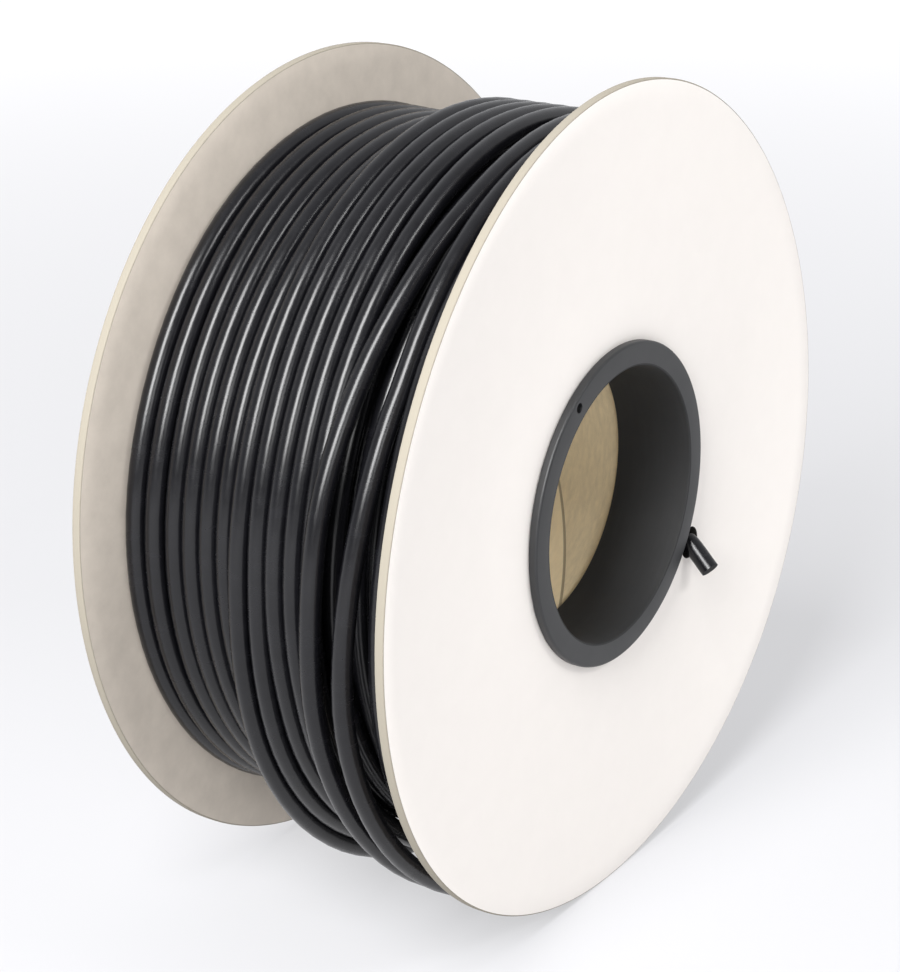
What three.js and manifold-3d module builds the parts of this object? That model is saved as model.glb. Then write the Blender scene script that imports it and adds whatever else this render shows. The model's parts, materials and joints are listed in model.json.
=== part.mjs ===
// Coaxial cable coil on its reel: two fibreboard flanges on a paper core tube, held by two moulded hub
// collars, with the black cable wound between them and its inner end brought out through one flange.
// Millimetres, +Z up. The reel stands on its two rims, with its axis level along Y and its front to -Y.
// The origin is on the floor, under the middle of the overall box.
import * as THREE from 'three';
import { mergeVertices } from 'three/addons/utils/BufferGeometryUtils.js';
import Module from 'manifold-3d';

// Driving dimensions

const CABLE_DIAMETER = 6.9;
const TURN_PITCH = 6.95;
const LAYER_RISE = 6.26;
const TURNS_PER_LAYER = 15;
const FULL_LAYERS = 11;
const TOP_LAYER_PLACES = 9;
const TOP_LAYER_MISSING_PLACE = 2;
const TURN_GROOVE_DEPTH = 1.6;
const TURN_SHOULDER = 2;
const END_GROOVE_DEPTH = 1.2;
const END_CLEARANCE = 0.6;

const FLANGE_RADIUS = 145;
const FLANGE_THICKNESS = 3.2;
const FLANGE_FLAT_RADIUS = 78;
const FRONT_RIM_DISH = 4.6;
const REAR_RIM_DISH = 2.8;

const COLLAR_BORE_RADIUS = 48.6;
const COLLAR_WALL = 2;
const COLLAR_RING_WIDTH = 8.5;
const COLLAR_RING_THICKNESS = 3.1;
const COLLAR_EDGE_BEVEL = 0.8;
const COLLAR_NAIL_HOLE_RADIUS = 1.75;
const COLLAR_NAIL_HOLE_ANGLE = 125;
const SLEEVE_LENGTH = 26.6;
const CORE_WALL = 3.5;

const TAIL_HOLE_RADIUS = 6;
const TAIL_HOLE_OFFSET = 66;
const TAIL_HOLE_ANGLE = -31;
const TAIL_OUT = 10;
const TAIL_DROP = 8;
const TAIL_SIDE = 2;
const TAIL_START_DEPTH = 8;

const SEAT_CLEARANCE = 0.3;
const WINDING_CLEARANCE = 0.4;

const FLANGE_SIDES = 72;
const HUB_SIDES = 48;
const WINDING_SIDES = 40;
const CABLE_SIDES = 12;

// Shared places, worked out from the driving dimensions

const sleeveOuterRadius = COLLAR_BORE_RADIUS + COLLAR_WALL;
const flangeBoreRadius = sleeveOuterRadius + SEAT_CLEARANCE;
const coreInnerRadius = sleeveOuterRadius + SEAT_CLEARANCE;
const coreOuterRadius = coreInnerRadius + CORE_WALL;
const ringOuterRadius = COLLAR_BORE_RADIUS + COLLAR_RING_WIDTH;
const windingInnerRadius = coreOuterRadius + WINDING_CLEARANCE;
const cableRadius = CABLE_DIAMETER / 2;

// Each layer lies in the grooves of the one below, so it is shifted by half a turn from its neighbours:
// even layers a quarter turn towards the rear flange, odd ones a quarter turn towards the front one.
const layShift = TURN_PITCH / 4;
const windingHalfWidth = (TURNS_PER_LAYER * TURN_PITCH) / 2;
const layerMiddle = (layer) => (layer % 2 === 0 ? layShift : -layShift);
const innerFace = windingHalfWidth + layShift + END_CLEARANCE;
const outerFace = innerFace + FLANGE_THICKNESS;
const collarFace = outerFace + SEAT_CLEARANCE + COLLAR_RING_THICKNESS;

// The tail leaves the winding square to the flange, then bends outwards and down beyond it.
const tailAngle = THREE.MathUtils.degToRad(TAIL_HOLE_ANGLE);
const tailX = TAIL_HOLE_OFFSET * Math.cos(tailAngle);
const tailZ = TAIL_HOLE_OFFSET * Math.sin(tailAngle);
const tailRoute = new THREE.CatmullRomCurve3([
  new THREE.Vector3(tailX, -windingHalfWidth + TAIL_START_DEPTH, tailZ),
  new THREE.Vector3(tailX, -windingHalfWidth, tailZ),
  new THREE.Vector3(tailX, -outerFace, tailZ),
  new THREE.Vector3(tailX - TAIL_SIDE, -outerFace - TAIL_OUT, tailZ - TAIL_DROP),
]);
const tailDirection = tailRoute.getTangent(1);
const tailEndSpread = cableRadius * Math.hypot(tailDirection.x, tailDirection.z);
const frontReach = outerFace + TAIL_OUT + tailEndSpread;

// The overall box is centred on the origin.
const reelShift = (frontReach - collarFace) / 2;

// Materials

const fibreboard = new THREE.MeshStandardMaterial({ color: 0xf3eee9, roughness: 0.85, metalness: 0 });
const rearFibreboard = fibreboard.clone();
const kraftTube = new THREE.MeshStandardMaterial({ color: 0x96876b, roughness: 0.9, metalness: 0 });
const mouldedPlastic = new THREE.MeshStandardMaterial({ color: 0x3c3d40, roughness: 0.5, metalness: 0 });
const rearMouldedPlastic = mouldedPlastic.clone();
const cableJacket = new THREE.MeshStandardMaterial({ color: 0x26262a, roughness: 0.35, metalness: 0 });

// Solids: booleans join and cut closed meshes

const wasm = await Module();
wasm.setup();

function toSolid(geometry) {
  const bare = geometry.clone();
  bare.deleteAttribute('normal');
  bare.deleteAttribute('uv');
  const merged = mergeVertices(bare, 1e-4);
  return new wasm.Manifold(new wasm.Mesh({
    numProp: 3,
    vertProperties: new Float32Array(merged.attributes.position.array),
    triVerts: new Uint32Array(merged.index.array),
  }));
}

function toGeometry(solid) {
  const mesh = solid.getMesh();
  const geometry = new THREE.BufferGeometry();
  geometry.setAttribute('position', new THREE.BufferAttribute(new Float32Array(mesh.vertProperties), 3));
  geometry.setIndex(new THREE.BufferAttribute(new Uint32Array(mesh.triVerts), 1));
  geometry.computeVertexNormals();
  return geometry;
}

// A closed profile of [radius, place along the axis] turned about Y. Its facets touch the true circle
// with their middles, and one of them lies level at the bottom.
function turned(profile, sides) {
  const stretch = 1 / Math.cos(Math.PI / sides);
  const points = profile.map(([radius, along]) => new THREE.Vector2(radius * stretch, along));
  points.push(points[0].clone());
  return new THREE.LatheGeometry(points, sides, Math.PI / sides);
}

function addPiece(name, geometry, material) {
  const mesh = new THREE.Mesh(geometry, material);
  mesh.name = name;
  reel.add(mesh);
}

// Flanges: flat around the hub, and pressed a little outwards towards the rim by the winding

function flangeProfile(rimDish) {
  return [
    [flangeBoreRadius, innerFace],
    [FLANGE_FLAT_RADIUS, innerFace],
    [FLANGE_RADIUS, innerFace + rimDish],
    [FLANGE_RADIUS, outerFace + rimDish],
    [FLANGE_FLAT_RADIUS, outerFace],
    [flangeBoreRadius, outerFace],
  ];
}

// The same profile towards -Y, listed the other way round so that its faces still point outwards
function mirrored(profile) {
  return profile.map(([radius, along]) => [radius, -along]).reverse();
}

function frontFlange() {
  const hole = new THREE.CylinderGeometry(
    TAIL_HOLE_RADIUS, TAIL_HOLE_RADIUS, 4 * FLANGE_THICKNESS, CABLE_SIDES * 2);
  hole.translate(tailX, -(innerFace + FLANGE_THICKNESS / 2), tailZ);
  const disc = toSolid(turned(mirrored(flangeProfile(FRONT_RIM_DISH)), FLANGE_SIDES));
  return toGeometry(disc.subtract(toSolid(hole)));
}

function rearFlange() {
  return turned(flangeProfile(REAR_RIM_DISH), FLANGE_SIDES);
}

// Core tube: butts against both flanges, around the collars' sleeves

function coreTube() {
  const end = innerFace - SEAT_CLEARANCE;
  return turned([
    [coreInnerRadius, -end],
    [coreOuterRadius, -end],
    [coreOuterRadius, end],
    [coreInnerRadius, end],
  ], HUB_SIDES);
}

// Hub collars: a flat ring over the flange's bore and a sleeve that plugs into the core tube

function collarProfile() {
  const sleeveEnd = outerFace - SLEEVE_LENGTH;
  const ringBack = collarFace - COLLAR_RING_THICKNESS;
  return [
    [COLLAR_BORE_RADIUS, sleeveEnd],
    [sleeveOuterRadius, sleeveEnd],
    [sleeveOuterRadius, ringBack],
    [ringOuterRadius, ringBack],
    [ringOuterRadius, collarFace - COLLAR_EDGE_BEVEL],
    [ringOuterRadius - COLLAR_EDGE_BEVEL, collarFace],
    [COLLAR_BORE_RADIUS, collarFace],
  ];
}

function collar() {
  const hole = new THREE.CylinderGeometry(
    COLLAR_NAIL_HOLE_RADIUS, COLLAR_NAIL_HOLE_RADIUS, 4 * COLLAR_RING_THICKNESS, CABLE_SIDES);
  const angle = THREE.MathUtils.degToRad(COLLAR_NAIL_HOLE_ANGLE);
  const offset = (sleeveOuterRadius + ringOuterRadius) / 2;
  hole.translate(offset * Math.cos(angle), collarFace, offset * Math.sin(angle));
  return toSolid(turned(collarProfile(), HUB_SIDES)).subtract(toSolid(hole));
}

// Cable: the winding's turns show as ridges around it and as steps up its ends. The top layer covers the
// front part only, and one turn is missing from it near the front flange.

const layerRadius = (layer) => windingInnerRadius + cableRadius + LAYER_RISE * layer;

// One turn of a layer, from behind its rear groove to its front groove
function turnRidge(crest, start) {
  return [
    [crest, start + TURN_PITCH - TURN_SHOULDER],
    [crest, start + TURN_SHOULDER],
    [crest - TURN_GROOVE_DEPTH, start],
  ];
}

// Where a turn is missing, a groove of the layer below shows in the middle of the gap.
function missingTurn(crestBelow, start) {
  const middle = start + TURN_PITCH / 2;
  return [
    [crestBelow, start + TURN_PITCH],
    [crestBelow, middle + TURN_SHOULDER],
    [crestBelow - TURN_GROOVE_DEPTH, middle],
    [crestBelow, middle - TURN_SHOULDER],
    [crestBelow, start],
  ];
}

// The end of the winding seen from one side: the end turn of each full layer stands out by its own shift.
function endSteps(side) {
  const steps = [];
  for (let layer = 1; layer < FULL_LAYERS; layer += 1) {
    const end = side * windingHalfWidth + layerMiddle(layer);
    const below = side * windingHalfWidth + layerMiddle(layer - 1);
    const innermost = side > 0 ? Math.min(end, below) : Math.max(end, below);
    steps.push([layerRadius(layer) - LAYER_RISE / 2, innermost - side * END_GROOVE_DEPTH]);
    steps.push([layerRadius(layer), end]);
  }
  return steps;
}

function windingProfile() {
  const lastLayer = FULL_LAYERS - 1;
  const fullRadius = layerRadius(lastLayer) + cableRadius;
  const topRadius = layerRadius(FULL_LAYERS) + cableRadius;
  const fullStart = -windingHalfWidth + layerMiddle(lastLayer);
  const topStart = -windingHalfWidth + layerMiddle(FULL_LAYERS);
  const topEnd = topStart + TOP_LAYER_PLACES * TURN_PITCH;

  const profile = [
    [windingInnerRadius, -windingHalfWidth + layerMiddle(0)],
    [windingInnerRadius, windingHalfWidth + layerMiddle(0)],
    ...endSteps(1),
    [fullRadius - TURN_GROOVE_DEPTH, fullStart + TURNS_PER_LAYER * TURN_PITCH],
  ];
  for (let turn = TURNS_PER_LAYER - 1; fullStart + turn * TURN_PITCH > topEnd; turn -= 1) {
    profile.push(...turnRidge(fullRadius, fullStart + turn * TURN_PITCH));
  }
  // The top layer's rear edge lies over the middle of the next turn below it.
  profile.push([fullRadius, topEnd + TURN_PITCH / 2 - TURN_SHOULDER]);
  profile.push([fullRadius, topEnd]);
  profile.push([topRadius - TURN_GROOVE_DEPTH, topEnd]);
  for (let place = TOP_LAYER_PLACES - 1; place >= 0; place -= 1) {
    const start = topStart + place * TURN_PITCH;
    if (place === TOP_LAYER_MISSING_PLACE) {
      profile.push(...missingTurn(fullRadius, start));
      profile.push([topRadius - TURN_GROOVE_DEPTH, start]);
    } else {
      profile.push(...turnRidge(topRadius, start));
    }
  }
  profile.push(...endSteps(-1).reverse());
  return profile;
}

function cableTail() {
  const section = new THREE.Shape();
  for (let side = 0; side < CABLE_SIDES; side += 1) {
    const angle = (2 * Math.PI * side) / CABLE_SIDES;
    const point = [cableRadius * Math.cos(angle), cableRadius * Math.sin(angle)];
    if (side === 0) {
      section.moveTo(...point);
    } else {
      section.lineTo(...point);
    }
  }
  section.closePath();
  return new THREE.ExtrudeGeometry(section, { steps: 10, bevelEnabled: false, extrudePath: tailRoute });
}

function cable() {
  const winding = toSolid(turned(windingProfile().reverse(), WINDING_SIDES));
  return toGeometry(winding.add(toSolid(cableTail())));
}

// Assembly

const reel = new THREE.Group();
reel.position.set(0, reelShift, FLANGE_RADIUS);
addPiece('front_flange', frontFlange(), fibreboard);
addPiece('rear_flange', rearFlange(), rearFibreboard);
addPiece('core_tube', coreTube(), kraftTube);
addPiece('front_collar', toGeometry(collar().mirror([0, 1, 0])), mouldedPlastic);
addPiece('rear_collar', toGeometry(collar()), rearMouldedPlastic);
addPiece('cable', cable(), cableJacket);

const part = new THREE.Group();
part.add(reel);
export default part;
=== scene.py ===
"""Coaxial cable coil on a flanged reel: the look of each piece, the floor, the light and the camera.

Lengths are written in millimetres and turned to metres by MM. The reel's axis is level along Y, its front
flange is towards -Y and it stands on its rims. Angles run round the axis from +X towards +Z.
"""
import json
import math
from types import SimpleNamespace

import bmesh
import bpy
from mathutils import Matrix, Vector

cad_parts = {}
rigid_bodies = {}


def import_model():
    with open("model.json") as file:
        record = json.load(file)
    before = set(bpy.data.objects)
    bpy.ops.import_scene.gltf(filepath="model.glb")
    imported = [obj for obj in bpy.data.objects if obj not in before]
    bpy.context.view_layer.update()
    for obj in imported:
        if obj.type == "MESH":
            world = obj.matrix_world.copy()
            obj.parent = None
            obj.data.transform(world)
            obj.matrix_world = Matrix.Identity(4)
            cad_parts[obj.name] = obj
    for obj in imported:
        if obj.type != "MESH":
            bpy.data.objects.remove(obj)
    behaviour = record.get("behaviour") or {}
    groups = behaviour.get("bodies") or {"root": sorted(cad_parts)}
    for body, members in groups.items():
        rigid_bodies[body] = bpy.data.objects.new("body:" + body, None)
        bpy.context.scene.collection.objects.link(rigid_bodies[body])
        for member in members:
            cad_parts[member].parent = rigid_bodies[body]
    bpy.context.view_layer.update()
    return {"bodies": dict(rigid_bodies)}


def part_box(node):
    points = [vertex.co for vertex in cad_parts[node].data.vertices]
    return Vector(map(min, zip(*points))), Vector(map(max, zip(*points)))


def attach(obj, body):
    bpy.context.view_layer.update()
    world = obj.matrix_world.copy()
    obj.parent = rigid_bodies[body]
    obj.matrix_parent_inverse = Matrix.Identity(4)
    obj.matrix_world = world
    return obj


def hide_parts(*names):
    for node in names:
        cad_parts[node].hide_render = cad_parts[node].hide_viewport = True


bl_info = {
    "name": "Coaxial Cable Coil",
    "version": (1, 0, 0),
    "blender": (4, 5, 0),
    "location": "3D View > Sidebar > Cable Coil",
    "description": "Builds a reel of coaxial cable piece by piece, with its materials and a plain studio",
    "category": "Add Mesh",
}

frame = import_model()

MM = 0.001
BODY = next(iter(frame["bodies"]))


def millimetres(point):
    return Vector(point) / MM


def node_box(node):
    low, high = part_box(node)
    return millimetres(low), millimetres(high)


# Places taken from the solid model, in millimetres

CORE_LOW, CORE_HIGH = node_box("core_tube")
FLANGE_LOW, FLANGE_HIGH = node_box("rear_flange")
COLLAR_LOW, COLLAR_HIGH = node_box("rear_collar")
AXIS = (CORE_LOW + CORE_HIGH) / 2
SEAT_CLEARANCE = 0.3
INNER_FACE = (CORE_HIGH.y - CORE_LOW.y) / 2 + SEAT_CLEARANCE
FLANGE_RADIUS = (FLANGE_HIGH.x - FLANGE_LOW.x) / 2
COLLAR_FACE = COLLAR_HIGH.y - AXIS.y
SLEEVE_END = COLLAR_LOW.y - AXIS.y
RING_RADIUS = (COLLAR_HIGH.x - COLLAR_LOW.x) / 2
CORE_RADIUS = (CORE_HIGH.x - CORE_LOW.x) / 2


# Sizes and colours that a user would change


def linear(hex_colour):
    """An sRGB hex colour as linear RGBA."""
    channels = [int(hex_colour[i:i + 2], 16) / 255 for i in (0, 2, 4)]
    return tuple(c / 12.92 if c <= 0.04045 else ((c + 0.055) / 1.055) ** 2.4 for c in channels) + (1.0,)


class ReelSizes(bpy.types.PropertyGroup):
    flange_thickness: bpy.props.FloatProperty(
        name="Flange thickness", description="Thickness of a flange disc",
        default=3.2 * MM, min=1 * MM, unit="LENGTH")
    flange_flat_radius: bpy.props.FloatProperty(
        name="Flat radius", description="Where a flange starts to bend outwards",
        default=78 * MM, unit="LENGTH")
    front_dish: bpy.props.FloatProperty(
        name="Front dish", description="How far the front rim is pushed outwards",
        default=3.0 * MM, unit="LENGTH")
    rear_dish: bpy.props.FloatProperty(
        name="Rear dish", description="How far the rear rim is pushed outwards",
        default=2.2 * MM, unit="LENGTH")
    front_warp: bpy.props.FloatProperty(
        name="Front warp", description="Height of the front rim's wave", default=2.0 * MM, unit="LENGTH")
    rear_warp: bpy.props.FloatProperty(
        name="Rear warp", description="Height of the rear rim's wave", default=-1.1 * MM, unit="LENGTH")
    bore_radius: bpy.props.FloatProperty(
        name="Bore radius", description="Radius of the open bore in the collars",
        default=48.6 * MM, unit="LENGTH")
    collar_wall: bpy.props.FloatProperty(
        name="Sleeve wall", description="Wall of a collar's sleeve", default=2.0 * MM, unit="LENGTH")
    ring_thickness: bpy.props.FloatProperty(
        name="Ring thickness", description="Thickness of a collar's ring", default=3.1 * MM, unit="LENGTH")
    core_wall: bpy.props.FloatProperty(
        name="Core wall", description="Wall of the paper core tube", default=3.5 * MM, unit="LENGTH")


class CableSizes(bpy.types.PropertyGroup):
    diameter: bpy.props.FloatProperty(
        name="Diameter", description="Outer diameter of the cable",
        default=6.9 * MM, min=1 * MM, unit="LENGTH")
    pitch: bpy.props.FloatProperty(
        name="Pitch", description="Distance between neighbouring turns",
        default=6.95 * MM, min=1 * MM, unit="LENGTH")
    layer_rise: bpy.props.FloatProperty(
        name="Layer rise", description="Distance between neighbouring layers",
        default=6.26 * MM, unit="LENGTH")
    turns_per_layer: bpy.props.IntProperty(
        name="Turns a layer", description="Turns in a full layer", default=15, min=1)
    full_layers: bpy.props.IntProperty(
        name="Full layers", description="Layers that run from flange to flange", default=11, min=1)


class ReelColours(bpy.types.PropertyGroup):
    board: bpy.props.FloatVectorProperty(
        name="Board", description="Off-white facing of the flanges",
        default=linear("efeae5"), size=4, min=0, max=1, subtype="COLOR")
    # The inner side is greyer than the facing as painted shade, for the light that the winding and the
    # other flange keep from it
    shaded_board_back: bpy.props.FloatVectorProperty(
        name="Board back", description="Greyer inner side of the flanges",
        default=linear("c3baaf"), size=4, min=0, max=1, subtype="COLOR")
    board_edge: bpy.props.FloatVectorProperty(
        name="Board edge", description="Raw cut edge of the flanges",
        default=linear("8f897d"), size=4, min=0, max=1, subtype="COLOR")
    kraft: bpy.props.FloatVectorProperty(
        name="Kraft", description="Brown paper of the core tube",
        default=linear("eddcb9"), size=4, min=0, max=1, subtype="COLOR")
    moulding: bpy.props.FloatVectorProperty(
        name="Moulding", description="Black plastic of the collars",
        default=linear("18191b"), size=4, min=0, max=1, subtype="COLOR")
    jacket: bpy.props.FloatVectorProperty(
        name="Jacket", description="Black jacket of the cable",
        default=linear("0e0e11"), size=4, min=0, max=1, subtype="COLOR")


def in_millimetres(group):
    """A size group's lengths in millimetres, and its counts as they are."""
    values = {name: getattr(group, name) for name in type(group).__annotations__}
    return SimpleNamespace(**{
        name: value / MM if isinstance(value, float) else value for name, value in values.items()})


# Materials

# Attributes that note a face's side of the board and the cable's cut ends
BOARD_SIDE = "board_side"
CUT_END = "cut_end"

# The colour sockets of a Mix node, whose other types have sockets of the same names
MIX_FACTOR, MIX_A, MIX_B = 0, 6, 7
MIX_RESULT = 2

# The core tube's seam: how far it runs along the tube in a turn, where it starts as a share of a turn, its
# width and the width of the lighter edge beside it. It is drawn a little wider than real, so that it shows.
SEAM_LEAD = 144.0
SEAM_PHASE = 0.4913
SEAM_WIDTH = 1.1
SEAM_EDGE_WIDTH = 9.0

SLEEVE_LOOK_RADIUS = 49.3
CABLE_GIRTH = 21.7


def shade(colour, factor):
    return tuple(c * factor for c in colour[:3]) + (1.0,)


def scale_for(size_mm):
    """The scale that makes a noise's main grain this many millimetres across."""
    return 1 / (size_mm * MM)


def add_node(tree, kind, inputs=None, **settings):
    """One node with its settings. Each input is linked to a socket or given a plain value."""
    node = tree.nodes.new(kind)
    for name, value in settings.items():
        setattr(node, name, value)
    for key, value in (inputs or {}).items():
        if isinstance(value, bpy.types.NodeSocket):
            tree.links.new(value, node.inputs[key])
        else:
            node.inputs[key].default_value = value
    return node


def new_material(name):
    """An empty node material and its tree."""
    material = bpy.data.materials.new(name)
    material.use_nodes = True
    material.node_tree.nodes.clear()
    return material, material.node_tree


def object_place(tree):
    """Object coordinates in metres, measured from the reel's middle."""
    place = add_node(tree, "ShaderNodeTexCoord")
    return add_node(tree, "ShaderNodeMapping", {
        "Vector": place.outputs["Object"], "Location": -AXIS * MM}).outputs["Vector"]


def radius_angle_along(tree, place):
    """Distance from the reel's axis in metres, angle round it in turns, and place along it in metres."""
    split = add_node(tree, "ShaderNodeSeparateXYZ", {"Vector": place})
    x, y, z = (split.outputs[name] for name in "XYZ")
    flat = add_node(tree, "ShaderNodeCombineXYZ", {"X": x, "Z": z}).outputs["Vector"]
    radius = add_node(tree, "ShaderNodeVectorMath", {0: flat}, operation="LENGTH").outputs["Value"]
    angle = add_node(tree, "ShaderNodeMath", {0: z, 1: x}, operation="ARCTAN2").outputs["Value"]
    turn = add_node(tree, "ShaderNodeMath", {0: angle, 1: 2 * math.pi}, operation="DIVIDE")
    return radius, turn.outputs["Value"], y


def white_faced_fibreboard(colours):
    """Pressed fibreboard with a white paper facing: chalky and nearly shadowless, with a faint mottle from
    the fibres under the paper and a few soft handling smudges. Its inner side is painted greyer, a painted
    shade for the light that the winding and the other flange keep from it. Its raw edges are creamier, and
    the wall of the tail's hole is painted nearly black, a painted shade inside the hole."""
    material, tree = new_material("white_faced_fibreboard")
    place = object_place(tree)
    facing, shaded_inner = tuple(colours.board), tuple(colours.shaded_board_back)
    # Fibre flocs under the paper are 5 to 10 mm across
    flocs = add_node(tree, "ShaderNodeTexNoise", {
        "Vector": place, "Scale": scale_for(9.0), "Detail": 4.0, "Roughness": 0.6}).outputs["Fac"]
    mottle = add_node(tree, "ShaderNodeMapRange", {
        "Value": flocs, "From Min": 0.3, "From Max": 0.7}).outputs["Result"]
    faced = add_node(tree, "ShaderNodeMix", {
        MIX_FACTOR: mottle, MIX_A: shade(facing, 0.985), MIX_B: facing},
        data_type="RGBA").outputs[MIX_RESULT]
    # Handling smudges are as wide as a few fingers
    handling = add_node(tree, "ShaderNodeTexNoise", {
        "Vector": place, "Scale": scale_for(60.0), "Detail": 2.0, "Roughness": 0.4,
        "Distortion": 0.6}).outputs["Fac"]
    smudge = add_node(tree, "ShaderNodeMapRange", {
        "Value": handling, "From Min": 0.6, "From Max": 0.85, "To Max": 0.08}).outputs["Result"]
    faced = add_node(tree, "ShaderNodeMix", {
        MIX_FACTOR: smudge, MIX_A: faced, MIX_B: shade(facing, 0.78)}, data_type="RGBA").outputs[MIX_RESULT]
    # The inner side is painted greyer than the facing, a painted shade, with the fibre mottle over it
    inner_mottle = add_node(tree, "ShaderNodeMapRange", {
        "Value": flocs, "From Min": 0.25, "From Max": 0.75}).outputs["Result"]
    colour = add_node(tree, "ShaderNodeMix", {
        MIX_FACTOR: inner_mottle, MIX_A: shade(shaded_inner, 0.9), MIX_B: shade(shaded_inner, 1.05)},
        data_type="RGBA").outputs[MIX_RESULT]
    side = add_node(
        tree, "ShaderNodeAttribute", attribute_name=BOARD_SIDE, attribute_type="GEOMETRY").outputs["Fac"]
    # Marks from 1.5 up paint the wall of the tail's hole nearly black: a painted shade inside the hole
    for least, paint in ((0.25, tuple(colours.board_edge)), (0.75, faced), (1.5, shade(shaded_inner, 0.06))):
        there = add_node(tree, "ShaderNodeMath", {
            0: side, 1: least}, operation="GREATER_THAN").outputs["Value"]
        colour = add_node(tree, "ShaderNodeMix", {
            MIX_FACTOR: there, MIX_A: colour, MIX_B: paint}, data_type="RGBA").outputs[MIX_RESULT]
    # Single fibres are about 0.1 mm wide, too fine to show, so they are drawn at 1.4 mm
    fibres = add_node(tree, "ShaderNodeTexNoise", {
        "Vector": place, "Scale": scale_for(1.4), "Detail": 4.0, "Roughness": 0.6}).outputs["Fac"]
    relief = add_node(tree, "ShaderNodeBump", {"Height": fibres, "Distance": 0.05 * MM, "Strength": 0.5})
    shader = add_node(tree, "ShaderNodeBsdfPrincipled", {
        "Base Color": colour, "Roughness": 0.82, "Specular IOR Level": 0.3,
        "Normal": relief.outputs["Normal"]})
    add_node(tree, "ShaderNodeOutputMaterial", {"Surface": shader.outputs["BSDF"]})
    return material


def spiral_kraft_board(colours):
    """Spiral wound kraft paperboard: dry brown paper with fine fibres running round the tube, and the open
    seam of its inner ply as a thin dark helical line with a slightly lighter edge beside it."""
    material, tree = new_material("spiral_wound_kraft_board")
    place = object_place(tree)
    turn, along = radius_angle_along(tree, place)[1:]
    kraft = tuple(colours.kraft)
    # Kraft fibres are 1 to 3 mm long and too fine to show, so they are drawn at 5 mm by 1.4 mm
    drawn_out = add_node(tree, "ShaderNodeMapping", {"Vector": place, "Scale": (1.0, 3.5, 1.0)})
    fibres = add_node(tree, "ShaderNodeTexNoise", {
        "Vector": drawn_out.outputs["Vector"], "Scale": scale_for(5.0), "Detail": 6.0,
        "Roughness": 0.65}).outputs["Fac"]
    fibrous = add_node(tree, "ShaderNodeMapRange", {
        "Value": fibres, "From Min": 0.3, "From Max": 0.7}).outputs["Result"]
    paper = add_node(tree, "ShaderNodeMix", {
        MIX_FACTOR: fibrous, MIX_A: shade(kraft, 0.86), MIX_B: shade(kraft, 1.08)},
        data_type="RGBA").outputs[MIX_RESULT]
    cloud = add_node(tree, "ShaderNodeTexNoise", {
        "Vector": place, "Scale": scale_for(45.0), "Detail": 2.0, "Roughness": 0.5}).outputs["Fac"]
    wound = add_node(tree, "ShaderNodeMath", {
        0: along, 1: 1 / (SEAM_LEAD * MM), 2: SEAM_PHASE}, operation="MULTIPLY_ADD").outputs["Value"]
    unwound = add_node(tree, "ShaderNodeMath", {0: wound, 1: turn}, operation="SUBTRACT").outputs["Value"]
    phase = add_node(tree, "ShaderNodeMath", {0: unwound}, operation="FRACT").outputs["Value"]
    seam_half = SEAM_WIDTH / 2 / SEAM_LEAD
    edge_half = SEAM_EDGE_WIDTH / 2 / SEAM_LEAD
    on_seam = add_node(tree, "ShaderNodeMath", {
        0: phase, 1: 0.5, 2: seam_half}, operation="COMPARE").outputs["Value"]
    beside = add_node(tree, "ShaderNodeMath", {
        0: phase, 1: 0.5 + edge_half, 2: edge_half}, operation="COMPARE").outputs["Value"]
    for where, amount, tint in ((cloud, 0.35, 0.8), (beside, 0.5, 1.22), (on_seam, 0.75, 0.3)):
        part = add_node(tree, "ShaderNodeMath", {
            0: where, 1: amount}, operation="MULTIPLY").outputs["Value"]
        paper = add_node(tree, "ShaderNodeMix", {
            MIX_FACTOR: part, MIX_A: paper, MIX_B: shade(kraft, tint)},
            data_type="RGBA").outputs[MIX_RESULT]
    height = add_node(tree, "ShaderNodeMath", {
        0: on_seam, 1: -3.0, 2: fibres}, operation="MULTIPLY_ADD").outputs["Value"]
    relief = add_node(tree, "ShaderNodeBump", {"Height": height, "Distance": 0.08 * MM, "Strength": 0.6})
    shader = add_node(tree, "ShaderNodeBsdfPrincipled", {
        "Base Color": paper, "Roughness": 0.88, "Specular IOR Level": 0.25,
        "Normal": relief.outputs["Normal"]})
    add_node(tree, "ShaderNodeOutputMaterial", {"Surface": shader.outputs["BSDF"]})
    return material


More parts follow.
